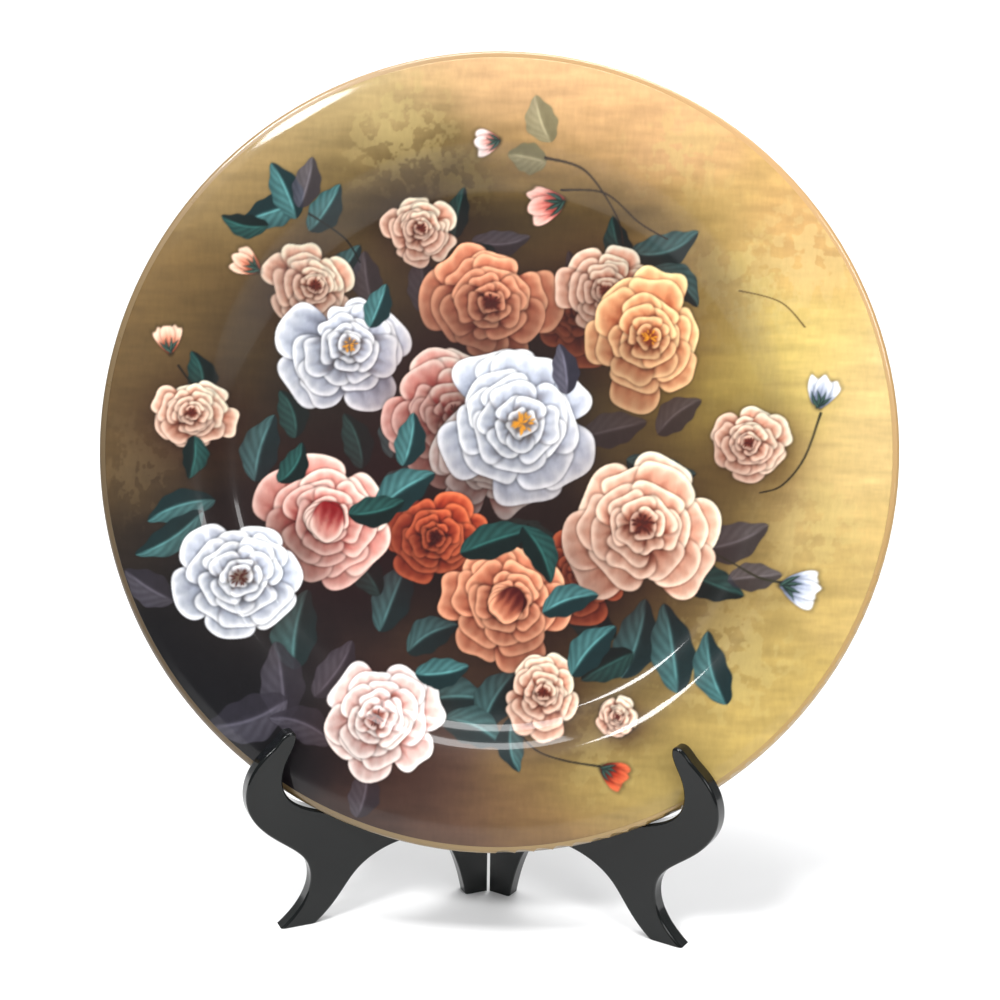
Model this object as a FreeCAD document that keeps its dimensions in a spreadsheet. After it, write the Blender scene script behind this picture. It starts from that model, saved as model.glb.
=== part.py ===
import FreeCAD, Part
import math
import os
import Sketcher
from FreeCAD import Vector

# Round painted tray on a folding display stand.
#
# The tray is pressed from sheet steel: a flat well floor, a rounded well wall, a wide crowned rim, and an
# edge curled back round a steel wire. It leans in a stand of two mirrored wooden boards, which two small
# brass butt hinges join along their rear edges, so that the stand folds flat, board against board.
#
# Frame: millimetres, +Z up, the tray faces -Y, +X is to the right of someone facing the painting.
# The origin is at the middle of the whole model's box, on the surface that the stand stands on.
#
# Board frame: u runs from the rear edge to the toe, w from the fold plane outwards, and v upwards.

# Driving dimensions: alias, value, what it is.
SIZES = [
    ("tray_radius", 200.0, "outside radius of the tray"),
    ("sheet_thickness", 1.0, "steel sheet of the tray"),
    ("wire_radius", 1.25, "wire inside the curled edge"),
    ("wire_clearance", 0.03, "gap between the wire and the curl"),
    ("curl_height", 17.0, "centre of the curl above the well floor"),
    ("curl_end_height", 16.6, "where the curl's free edge stops, above the well floor"),
    ("tray_lean", 12.0, "degrees that the tray leans back"),
    ("tray_y", 21.96, "centre of the well floor, front to back"),
    ("tray_z", 236.24, "centre of the well floor, above the table"),
    ("half_opening", 62.0, "degrees from the fold plane to each open board"),
    ("pin_y", 11.26, "hinge pins, front to back"),
    ("pin_setback", 0.75, "hinge pin axis behind the boards' rear edges"),
    ("face_gap", 0.4, "gap between the inner faces of the folded boards"),
    ("board_thickness", 9.0, "wood of each board"),
    ("edge_rounding", 1.4, "rounding along the sawn outline"),
    ("hinge_height", 22.0, "length of each hinge along its pin"),
    ("lower_hinge_z", 29.0, "bottom of the lower hinge"),
    ("upper_hinge_z", 108.0, "bottom of the upper hinge"),
    ("leaf_thickness", 1.0, "brass of a hinge leaf"),
    ("leaf_reach", 7.6, "how far a leaf reaches from the fold plane"),
    ("leaf_clearance", 0.05, "gap round a leaf in its mortise"),
    ("leaf_seat", 0.01, "gap under a leaf in its mortise"),
    ("strip_overlap", 0.5, "how far a knuckle's strip laps onto its plate"),
    ("knuckle_radius", 1.75, "outside of the hinge barrel"),
    ("knuckle_gap", 0.15, "gap between neighbouring knuckles"),
    ("barrel_relief", 1.9, "round cut in board and leaf that clears the barrel"),
    ("pin_radius", 1.0, "hinge pin"),
    ("pin_clearance", 0.05, "gap between the pin and its knuckles"),
    ("pin_head_radius", 1.6, "domed head of the hinge pin"),
    ("pin_head_height", 0.8, "height of the pin's head"),
    ("pin_rounding", 0.4, "rounding of the pin's ends"),
    ("screw_spacing", 13.0, "distance between the two screws of a leaf"),
    ("screw_reach", 5.0, "screws from the fold plane"),
    ("screw_head_radius", 1.8, "countersunk head"),
    ("screw_shank_radius", 0.9, "screw in the wood"),
    ("screw_length", 9.0, "screw with its head"),
    ("screw_tip", 2.0, "point of the screw"),
    ("screw_clearance", 0.02, "gap between a screw and its hole"),
    ("slot_width", 0.5, "slot of the screw head"),
    ("slot_depth", 0.4, "depth of the slot"),
    ("cut_margin", 1.0, "how far a cut starts outside the face that it enters"),
    ("leaf_hole_length", 4.0, "screw hole, longer than a leaf is thick"),
]

# Control points of the smooth curves, each a list of two coordinates in millimetres.
# The board's two curves are in u, v; the tray's section is in radius, height above the well floor.
CURVES = {
    "arch": [
        (95.0, 0.0), (88.0, 5.5), (80.0, 16.0), (73.0, 26.0), (62.0, 33.5), (48.0, 38.0),
        (34.0, 38.5), (23.0, 33.0), (17.0, 20.5), (13.5, 8.0), (12.0, 0.0),
    ],
    "front": [
        (113.5, 0.0), (107.0, 5.0), (99.5, 14.0), (96.5, 25.5), (99.0, 36.0), (108.0, 43.5),
        (118.0, 50.5), (127.0, 60.0), (131.0, 71.5), (128.5, 84.0), (121.0, 93.5), (114.0, 98.5),
        (109.5, 105.0), (102.8, 105.0), (104.3, 97.0), (110.0, 88.5), (112.0, 78.0), (109.0, 70.0),
        (101.5, 64.5), (91.5, 61.0), (80.0, 57.5), (67.0, 57.5), (55.0, 63.5), (46.5, 76.0),
        (41.5, 91.0), (38.5, 106.5), (27.0, 117.0), (20.0, 129.0), (14.0, 141.0), (9.5, 150.5),
        (6.0, 156.5), (1.5, 155.5), (0.0, 149.0),
    ],
    "section": [
        (0.0, 0.0), (40.0, 0.0), (100.0, 0.0), (126.0, 0.0), (135.0, 1.0), (142.0, 7.0),
        (149.0, 14.5), (158.0, 17.6), (170.0, 19.3), (182.0, 20.0), (190.5, 19.9),
    ],
}
AXES = ("across", "up")
KNUCKLES = 5
SIDES = {"left": -1, "right": 1}
LEVELS = ("lower", "upper")

# Angles on the curled edge's circle where the sheet runs into it, and where its free edge stops.
CURL_START_DEG = 84
CURL_END_DEG = -170

# An edge that spans less than this along an axis is flat across it, in millimetres.
FLAT = 0.01

doc = FreeCAD.newDocument("PaintedTray")


def fill_sheet():
    """Every driving dimension and control point gets one row: a note, and a number with an alias."""
    sheet = doc.addObject("Spreadsheet::Sheet", "sizes")
    rows = list(SIZES)
    for curve, points in CURVES.items():
        for index, point in enumerate(points):
            for axis, value in zip(AXES, point):
                rows.append((f"{curve}_{index}_{axis}", value, f"{curve} curve, point {index}, {axis}"))
    for number, (alias, value, note) in enumerate(rows, start=1):
        sheet.set(f"A{number}", note)
        sheet.set(f"B{number}", str(value))
        sheet.setAlias(f"B{number}", alias)
    doc.recompute()
    return sheet


sizes = fill_sheet()


def bind(thing, **expressions):
    """Binds properties to expressions; a double underscore in a name stands for a dot."""
    for name, expression in expressions.items():
        thing.setExpression(name.replace("__", "."), expression)


def point_of(curve, index):
    """One control point, read from the sheet."""
    across, up = (getattr(sizes, f"{curve}_{index}_{axis}") for axis in AXES)
    return Vector(across, up, 0)


def curve_poles(curve):
    """Expressions for every control point of a curve in the sheet."""
    return [tuple(f"sizes.{curve}_{index}_{axis}" for axis in AXES) for index in range(len(CURVES[curve]))]


def value_of(expression):
    """The present value of an expression of the sheet's cells."""
    return float(sizes.evalExpression(expression))


def bound_spline(sketch, name, poles, free_ends=()):
    """Adds a cubic B-spline: each pole is two bound expressions, and any free ones come after them."""
    held = [Vector(value_of(across), value_of(up), 0) for across, up in poles]
    every = held + list(free_ends)
    spline = Part.BSplineCurve()
    spline.buildFromPoles(every, False, 3)
    spline_id = sketch.addGeometry(spline, False)
    for index, pole in enumerate(every):
        marker = sketch.addGeometry(Part.Circle(pole, Vector(0, 0, 1), 1.0), True)
        role = "InternalAlignment:Sketcher::BSplineControlPoint"
        sketch.addConstraint(Sketcher.Constraint(role, marker, 3, spline_id, index))
        sketch.addConstraint(Sketcher.Constraint("Weight", marker, 1.0))
        if index >= len(held):
            continue
        across, up = poles[index]
        bound_constraint(sketch, f"{name}_{index}_across", across, "DistanceX", -1, 1, marker, 3, pole.x)
        bound_constraint(sketch, f"{name}_{index}_up", up, "DistanceY", -1, 1, marker, 3, pole.y)
    return spline_id


def bound_constraint(sketch, name, expression, *arguments):
    """Adds a named dimension to a sketch and binds it."""
    constraint = sketch.addConstraint(Sketcher.Constraint(*arguments))
    sketch.renameConstraint(constraint, name)
    sketch.setExpression(f"Constraints.{name}", expression)


def stand_placement(side):
    """Expression that puts the board frame of one side at its open angle, behind the hinge pin."""
    turn = "sizes.half_opening - 90" if side > 0 else "270 - sizes.half_opening"
    forward = "sizes.pin_setback * cos(sizes.half_opening * 1 deg)"
    outward = "sizes.pin_setback * sin(sizes.half_opening * 1 deg)"
    base = f"vector({side} * {outward}; sizes.pin_y - {forward}; 0)"
    return f"placement({base}; rotation(vector(0; 0; 1); ({turn}) * 1 deg))"


def tray_placement(height):
    """Expression that leans the tray back, with its local Z along the tray's normal."""
    lean = "(90 - sizes.tray_lean) * 1 deg"
    forward = f"{height} * cos(sizes.tray_lean * 1 deg)"
    upward = f"{height} * sin(sizes.tray_lean * 1 deg)"
    base = f"vector(0; sizes.tray_y - {forward}; sizes.tray_z + {upward})"
    return f"placement({base}; rotation(vector(1; 0; 0); {lean}))"


def hinge_bottom(level):
    return f"sizes.{level}_hinge_z"


def screw_heights(level):
    """Expressions for the heights of a leaf's two screws."""
    middle = f"{hinge_bottom(level)} + sizes.hinge_height / 2"
    return [f"{middle} {sign} sizes.screw_spacing / 2" for sign in ("-", "+")]


# Stand boards


def subtract(body, kind, name, position, turn=None, **expressions):
    """Cuts a box or a cylinder, placed by three expressions in the board frame."""
    tool = body.newObject(f"PartDesign::Subtractive{kind}", name)
    rotation = turn or "rotation(vector(0; 0; 1); 0 deg)"
    expressions["Placement"] = f"placement(vector({'; '.join(position)}); {rotation})"
    bind(tool, **expressions)
    return tool


def make_board(side_name, side):
    """A board sawn to the stand's profile, with mortises, barrel reliefs and pilot holes."""
    body = doc.addObject("PartDesign::Body", f"{side_name}_board")
    sketch = body.newObject("Sketcher::SketchObject", f"{side_name}_profile")
    plane = next(item for item in body.Origin.OriginFeatures if item.Role == "XZ_Plane")
    sketch.AttachmentSupport = (plane, "")
    sketch.MapMode = "FlatFace"
    bind(sketch, AttachmentOffset__Base__z=f"{-side} * sizes.face_gap / 2")
    arch = bound_spline(sketch, "arch", curve_poles("arch"))
    front = bound_spline(sketch, "front", curve_poles("front"))
    corner = Vector(0, 0, 0)
    rear_edge = sketch.addGeometry(Part.LineSegment(point_of("front", len(CURVES["front"]) - 1), corner), False)
    rear_foot = sketch.addGeometry(Part.LineSegment(corner, point_of("arch", len(CURVES["arch"]) - 1)), False)
    front_foot = sketch.addGeometry(Part.LineSegment(point_of("arch", 0), point_of("front", 0)), False)
    joins = [
        (front, 2, rear_edge, 1),
        (rear_edge, 2, rear_foot, 1),
        (rear_foot, 2, arch, 2),
        (arch, 1, front_foot, 1),
        (front_foot, 2, front, 1),
        (rear_edge, 2, -1, 1),
    ]
    for join in joins:
        sketch.addConstraint(Sketcher.Constraint("Coincident", *join))
    pad = body.newObject("PartDesign::Pad", f"{side_name}_plank")
    pad.Profile = sketch
    pad.Reversed = side > 0
    bind(pad, Length="sizes.board_thickness")
    doc.recompute()

    # The two sawn curves are rounded on both faces; the feet and the rear edge stay square.
    curved = []
    for number, edge in enumerate(pad.Shape.Edges, start=1):
        flat = edge.BoundBox.YLength < FLAT
        if flat and edge.Curve.TypeId == "Part::GeomBSplineCurve":
            curved.append(f"Edge{number}")
    rounding = body.newObject("PartDesign::Fillet", f"{side_name}_rounding")
    rounding.Base = (pad, curved)
    bind(rounding, Radius="sizes.edge_rounding")
    doc.recompute()

    for level in LEVELS:
        name = f"{side_name}_{level}"
        bottom = hinge_bottom(level)
        reach = "(sizes.leaf_reach + sizes.leaf_clearance)"
        subtract(
            body, "Box", f"{name}_mortise",
            ("-sizes.cut_margin", "0" if side > 0 else f"-{reach}", f"{bottom} - sizes.leaf_clearance"),
            Length="sizes.cut_margin + sizes.leaf_thickness + sizes.leaf_seat",
            Width=reach,
            Height="sizes.hinge_height + 2 * sizes.leaf_clearance",
        )
        subtract(
            body, "Cylinder", f"{name}_relief",
            ("-sizes.pin_setback", "0", f"{bottom} - 2 * sizes.pin_head_height"),
            Radius="sizes.barrel_relief",
            Height="sizes.hinge_height + 4 * sizes.pin_head_height",
        )
        for hole, height in enumerate(screw_heights(level)):
            subtract(
                body, "Cylinder", f"{name}_pilot_{hole}",
                ("0", f"{side} * sizes.screw_reach", height),
                turn="rotation(vector(0; 1; 0); 90 deg)",
                Radius="sizes.screw_shank_radius + sizes.screw_clearance",
                Height="sizes.screw_length + sizes.screw_clearance",
            )
    bind(body, Placement=stand_placement(side))
    return body


# Hinges


def solid(kind, name, placement, **expressions):
    """A Part primitive with bound sizes and a bound placement."""
    piece = doc.addObject(f"Part::{kind}", name)
    bind(piece, Placement=placement, **expressions)
    return piece


def placed(across, outward, up, turn="rotation(vector(0; 0; 1); 0 deg)"):
    return f"placement(vector({across}; {outward}; {up}); {turn})"


def fuse(name, pieces):
    joined = doc.addObject("Part::MultiFuse", name)
    joined.Shapes = pieces
    return joined


def cut(name, base, tools):
    """Cuts several tools from a base, one after another."""
    for number, tool in enumerate(tools):
        result = doc.addObject("Part::Cut", f"{name}_{number}")
        result.Base = base
        result.Tool = tool
        base = result
    return base


def knuckle_spans(side):
    """The knuckles that belong to one leaf: the left leaf has the outer ones."""
    first = 0 if side < 0 else 1
    return range(first, KNUCKLES, 2)


PITCH = f"((sizes.hinge_height + sizes.knuckle_gap) / {KNUCKLES})"


def make_leaf(side_name, side, level):
    """A brass leaf: a plate let into the board's rear edge, its knuckles, and two countersunk holes."""
    name = f"{side_name}_{level}"
    bottom = hinge_bottom(level)
    axis = "-sizes.pin_setback"
    inner = "sizes.face_gap / 2"
    width = f"(sizes.leaf_reach - {inner})"
    strip_reach = "(sizes.barrel_relief + sizes.strip_overlap)"
    plate = solid(
        "Box", f"{name}_plate",
        placed("0", inner if side > 0 else "-sizes.leaf_reach", bottom),
        Length="sizes.leaf_thickness", Width=width, Height="sizes.hinge_height",
    )
    relief = solid(
        "Cylinder", f"{name}_notch", placed(axis, "0", bottom),
        Radius="sizes.barrel_relief", Height="sizes.hinge_height",
    )
    knuckles = []
    for span in knuckle_spans(side):
        start = f"{bottom} + {span} * {PITCH}"
        height = f"{PITCH} - sizes.knuckle_gap"
        barrel = solid(
            "Cylinder", f"{name}_barrel_{span}", placed(axis, "0", start),
            Radius="sizes.knuckle_radius", Height=height,
        )
        # The strip that joins the barrel to the plate fills the notch beside it.
        strip = solid(
            "Box", f"{name}_strip_{span}",
            placed("0", inner if side > 0 else f"-{strip_reach}", start),
            Length="sizes.leaf_thickness",
            Width=f"{strip_reach} - {inner}",
            Height=height,
        )
        knuckles += [barrel, strip]
    notched = cut(f"{name}_notched", plate, [relief])
    body = fuse(f"{name}_joined", [notched] + knuckles)
    bore = solid(
        "Cylinder", f"{name}_bore", placed(axis, "0", f"{bottom} - sizes.cut_margin"),
        Radius="sizes.pin_radius + sizes.pin_clearance",
        Height="sizes.hinge_height + 2 * sizes.cut_margin",
    )
    tools = [bore]
    into_wood = "rotation(vector(0; 1; 0); 90 deg)"
    for hole, height in enumerate(screw_heights(level)):
        tools.append(solid(
            "Cylinder", f"{name}_hole_{hole}",
            placed("-sizes.cut_margin", f"{side} * sizes.screw_reach", height, into_wood),
            Radius="sizes.screw_shank_radius + sizes.screw_clearance",
            Height="sizes.leaf_hole_length",
        ))
        tools.append(solid(
            "Cone", f"{name}_countersink_{hole}",
            placed("0", f"{side} * sizes.screw_reach", height, into_wood),
            Radius1="sizes.screw_head_radius + sizes.screw_clearance",
            Radius2="sizes.screw_shank_radius + sizes.screw_clearance",
            Height="sizes.screw_head_radius - sizes.screw_shank_radius",
        ))
    leaf = cut(f"{name}_leaf_cut", body, tools)
    # A bare compound around the last cut carries the leaf's name and its place on the board.
    node = doc.addObject("Part::Compound", f"{level}_{side_name}_leaf")
    node.Links = [leaf]
    bind(node, Placement=stand_placement(side))
    return node


def make_pin(level):
    """A brass hinge pin with a domed head on top of the barrel."""
    name = f"{level}_pin"
    bottom = hinge_bottom(level)
    top = f"{bottom} + sizes.hinge_height"
    place = "placement(vector(0; sizes.pin_y; {}); rotation(vector(0; 0; 1); 0 deg))"
    shank = solid(
        "Cylinder", f"{name}_shank", place.format(f"{bottom} - sizes.pin_clearance"),
        Radius="sizes.pin_radius", Height="sizes.hinge_height + 2 * sizes.pin_clearance",
    )
    head = solid(
        "Cylinder", f"{name}_head", place.format(f"{top} + sizes.pin_clearance"),
        Radius="sizes.pin_head_radius", Height="sizes.pin_head_height",
    )
    joined = fuse(f"{name}_joined", [shank, head])
    doc.recompute()
    top_z = joined.Shape.BoundBox.ZMax
    bottom_z = joined.Shape.BoundBox.ZMin
    pin = doc.addObject("Part::Fillet", f"{level}_hinge_pin")
    pin.Base = joined
    rims = []
    for number, edge in enumerate(joined.Shape.Edges, start=1):
        level_edge = edge.BoundBox.ZLength < FLAT
        if level_edge and min(abs(edge.BoundBox.ZMax - z) for z in (top_z, bottom_z)) < FLAT:
            rims.append((number, sizes.pin_rounding, sizes.pin_rounding))
    pin.Edges = rims
    return pin


def make_screw(name, side, height):
    """A slotted countersunk wood screw, driven into the rear edge of a board."""
    reach = f"{side} * sizes.screw_reach"
    into_wood = "rotation(vector(0; 1; 0); 90 deg)"
    head_depth = "(sizes.screw_head_radius - sizes.screw_shank_radius)"
    head = solid(
        "Cone", f"{name}_head", placed("0", reach, height, into_wood),
        Radius1="sizes.screw_head_radius", Radius2="sizes.screw_shank_radius", Height=head_depth,
    )
    shank = solid(
        "Cylinder", f"{name}_shank", placed(head_depth, reach, height, into_wood),
        Radius="sizes.screw_shank_radius", Height=f"sizes.screw_length - sizes.screw_tip - {head_depth}",
    )
    tip = solid(
        "Cone", f"{name}_tip", placed("sizes.screw_length - sizes.screw_tip", reach, height, into_wood),
        Radius1="sizes.screw_shank_radius", Radius2="0", Height="sizes.screw_tip",
    )
    slot = solid(
        "Box", f"{name}_slot",
        placed("-sizes.cut_margin", f"{reach} - sizes.screw_head_radius", f"{height} - sizes.slot_width / 2"),
        Length="sizes.cut_margin + sizes.slot_depth",
        Width="2 * sizes.screw_head_radius",
        Height="sizes.slot_width",
    )
    return cut(f"{name}_slotted", fuse(f"{name}_joined", [head, shank, tip]), [slot])


def make_screws(side_name, side):
    """The four screws of one board, as separate solids in one node."""
    screws = []
    for level in LEVELS:
        for number, height in enumerate(screw_heights(level)):
            screws.append(make_screw(f"{side_name}_{level}_screw_{number}", side, height))
    node = doc.addObject("Part::Compound", f"{side_name}_hinge_screws")
    node.Links = screws
    bind(node, Placement=stand_placement(side))
    return node


# Tray


def back_pole(index):
    """Expressions for a control point of the tray's back: the front's, moved by the sheet's thickness."""
    last = len(CURVES["section"]) - 1
    before = point_of("section", max(index - 1, 0))
    after = point_of("section", min(index + 1, last))
    along = (after - before).normalize()
    across, up = (f"sizes.section_{index}_{axis}" for axis in AXES)
    return (
        f"{across} + {along.y:.3f} * sizes.sheet_thickness",
        f"{up} - {along.x:.3f} * sizes.sheet_thickness",
    )


def make_tray():
    """The sheet's section, with its curled edge, turned round the tray's axis."""
    body = doc.addObject("PartDesign::Body", "tray_body")
    sketch = body.newObject("Sketcher::SketchObject", "tray_section")
    plane = next(item for item in body.Origin.OriginFeatures if item.Role == "XZ_Plane")
    sketch.AttachmentSupport = (plane, "")
    sketch.MapMode = "FlatFace"
    inner = "sizes.wire_radius + sizes.wire_clearance"
    outer = f"{inner} + sizes.sheet_thickness"
    centre_across = f"sizes.tray_radius - ({outer})"
    inner_radius = sizes.wire_radius + sizes.wire_clearance
    outer_radius = inner_radius + sizes.sheet_thickness
    centre = Vector(sizes.tray_radius - outer_radius, sizes.curl_height, 0)
    start_angle = math.radians(CURL_START_DEG)
    end_angle = math.radians(CURL_END_DEG)

    def curl(radius, expression, name):
        """One side of the curled edge."""
        circle = Part.Circle(centre, Vector(0, 0, 1), radius)
        arc = sketch.addGeometry(Part.ArcOfCircle(circle, end_angle, start_angle), False)
        bound_constraint(sketch, f"{name}_radius", expression, "Radius", arc, radius)
        bound_constraint(sketch, f"{name}_across", centre_across, "DistanceX", -1, 1, arc, 3, centre.x)
        bound_constraint(sketch, f"{name}_up", "sizes.curl_height", "DistanceY", -1, 1, arc, 3, centre.y)
        return arc

    def meeting(radius):
        """Where a face of the sheet runs into its curl, to start the solver near its answer."""
        return centre + Vector(math.cos(start_angle), math.sin(start_angle), 0) * radius

    count = len(CURVES["section"])
    back_poles = [back_pole(index) for index in range(count)]
    front = bound_spline(sketch, "front_face", curve_poles("section"), [meeting(outer_radius)])
    back = bound_spline(sketch, "back_face", back_poles, [meeting(inner_radius)])
    outside = curl(outer_radius, outer, "outside")
    inside = curl(inner_radius, inner, "inside")
    free_edge = sketch.addGeometry(Part.LineSegment(centre, centre + Vector(-1, 0, 0)), False)
    axis = sketch.addGeometry(Part.LineSegment(Vector(0, 0, 0), Vector(0, -1, 0)), False)
    sketch.addConstraint(Sketcher.Constraint("Tangent", front, 2, outside, 2))
    sketch.addConstraint(Sketcher.Constraint("Tangent", back, 2, inside, 2))
    joins = [(inside, 1, free_edge, 1), (outside, 1, free_edge, 2), (front, 1, axis, 1), (back, 1, axis, 2)]
    for join in joins:
        sketch.addConstraint(Sketcher.Constraint("Coincident", *join))
    sketch.addConstraint(Sketcher.Constraint("PointOnObject", inside, 3, free_edge))
    end_height = centre.y + outer_radius * math.sin(end_angle)
    bound_constraint(sketch, "curl_end", "sizes.curl_end_height", "DistanceY", -1, 1, outside, 1, end_height)
    turned = body.newObject("PartDesign::Revolution", "tray_turned")
    turned.Profile = sketch
    turned.ReferenceAxis = (sketch, ["V_Axis"])
    turned.Angle = 360
    bind(body, Placement=tray_placement("0"))
    return body


def make_rim_wire():
    """The wire that the tray's edge is curled round."""
    wire = doc.addObject("Part::Torus", "rim_wire")
    bind(
        wire,
        Radius1="sizes.tray_radius - sizes.wire_radius - sizes.wire_clearance - sizes.sheet_thickness",
        Radius2="sizes.wire_radius",
        Placement=tray_placement("sizes.curl_height"),
    )
    return wire


def check(nodes):
    """Stops before anything is written if an object failed or a sub-part isn't a sound solid."""
    for thing in doc.Objects:
        failed = [state for state in thing.State if state in ("Invalid", "Error")]
        if failed:
            raise RuntimeError(f"{thing.Name} failed: {failed}")
    for name, node in nodes.items():
        if node.Shape.isNull() or not node.Shape.isValid() or not node.Shape.Solids:
            raise RuntimeError(f"{name} is not a valid solid")


def main():
    nodes = {}
    for side_name, side in SIDES.items():
        nodes[f"{side_name}_board"] = make_board(side_name, side)
        for level in LEVELS:
            nodes[f"{level}_{side_name}_leaf"] = make_leaf(side_name, side, level)
        nodes[f"{side_name}_hinge_screws"] = make_screws(side_name, side)
    for level in LEVELS:
        nodes[f"{level}_hinge_pin"] = make_pin(level)
    nodes["tray_body"] = make_tray()
    nodes["rim_wire"] = make_rim_wire()
    for name, node in nodes.items():
        node.Label = name
    doc.recompute()
    check(nodes)
    os.makedirs("parts", exist_ok=True)
    for name, node in nodes.items():
        node.Shape.exportStep(f"parts/{name}.step")
        solids = len(node.Shape.Solids)
        print(f"{name}: {solids} solid(s), {node.Shape.Volume:.0f} mm3")


main()
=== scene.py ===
import math

import bpy
import numpy as np
from mathutils import Matrix, Vector


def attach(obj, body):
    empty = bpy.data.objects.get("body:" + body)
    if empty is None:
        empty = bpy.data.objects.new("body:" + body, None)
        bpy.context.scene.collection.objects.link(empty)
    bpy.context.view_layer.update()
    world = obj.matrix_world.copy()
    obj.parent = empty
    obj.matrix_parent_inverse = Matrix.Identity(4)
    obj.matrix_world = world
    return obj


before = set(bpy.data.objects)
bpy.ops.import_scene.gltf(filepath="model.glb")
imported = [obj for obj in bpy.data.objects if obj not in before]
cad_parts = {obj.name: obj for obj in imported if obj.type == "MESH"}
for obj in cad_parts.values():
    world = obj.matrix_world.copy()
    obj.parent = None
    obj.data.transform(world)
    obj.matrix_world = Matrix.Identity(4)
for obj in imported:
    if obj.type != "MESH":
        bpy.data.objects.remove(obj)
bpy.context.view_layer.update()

MM = 0.001

# The tray's own frame: centre of the well floor, lean, and its section in radius and height above
# the floor (mm).
TRAY_CENTRE = np.array([0.0, 21.96, 236.24])
TRAY_LEAN = math.radians(12.0)
TRAY_UP = np.array([0.0, math.sin(TRAY_LEAN), math.cos(TRAY_LEAN)])
TRAY_OUT = np.array([0.0, -math.cos(TRAY_LEAN), math.sin(TRAY_LEAN)])
SECTION = np.array([
    (0.0, 0.0), (40.0, 0.0), (100.0, 0.0), (126.0, 0.0), (135.0, 1.0), (142.0, 7.0), (149.0, 14.5),
    (158.0, 17.6), (170.0, 19.3), (182.0, 20.0), (190.5, 19.9), (197.96, 19.27),
])

# The coat of paint over the front of the tray: how far out it reaches, and how far it spans either
# side of the steel's face.
PAINT_RADIUS = 196.4
PAINT_DEPTH = 0.3
PAINT_TAPER = 7.0
GRID = 721
UNDERSIDE_RINGS = 26

# The canvas that the painting is worked out on.
CANVAS_PITCH = 0.4
CANVAS_HALF = 204.0
CANVAS_SIZE = int(2 * CANVAS_HALF / CANVAS_PITCH) + 1


# ---------------------------------------------------------------- small helpers


def smooth(value):
    """0 to 1 with soft ends."""
    value = np.clip(value, 0.0, 1.0)
    return value * value * (3.0 - 2.0 * value)


def noise(shape, cells, rng, stretch=(1.0, 1.0)):
    """Smooth value noise of 0 to 1 with about the given number of cells across."""
    rows = max(2, int(cells * stretch[0])) + 1
    columns = max(2, int(cells * stretch[1])) + 1
    grid = rng.random((rows + 1, columns + 1))
    y = np.linspace(0, rows - 1.001, shape[0])
    x = np.linspace(0, columns - 1.001, shape[1])
    y0, x0 = y.astype(int), x.astype(int)
    fy, fx = smooth(y - y0)[:, None], smooth(x - x0)[None, :]
    top = grid[y0][:, x0] * (1 - fx) + grid[y0][:, x0 + 1] * fx
    low = grid[y0 + 1][:, x0] * (1 - fx) + grid[y0 + 1][:, x0 + 1] * fx
    return top * (1 - fy) + low * fy


def layered_noise(shape, cells, rng, octaves=4, stretch=(1.0, 1.0)):
    total, weight = np.zeros(shape), 0.0
    for octave in range(octaves):
        share = 0.55 ** octave
        total += share * noise(shape, cells * 2 ** octave, rng, stretch)
        weight += share
    return total / weight


def mix(first, second, share):
    return first * (1 - share) + second * share


# ---------------------------------------------------------------- painter


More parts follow.
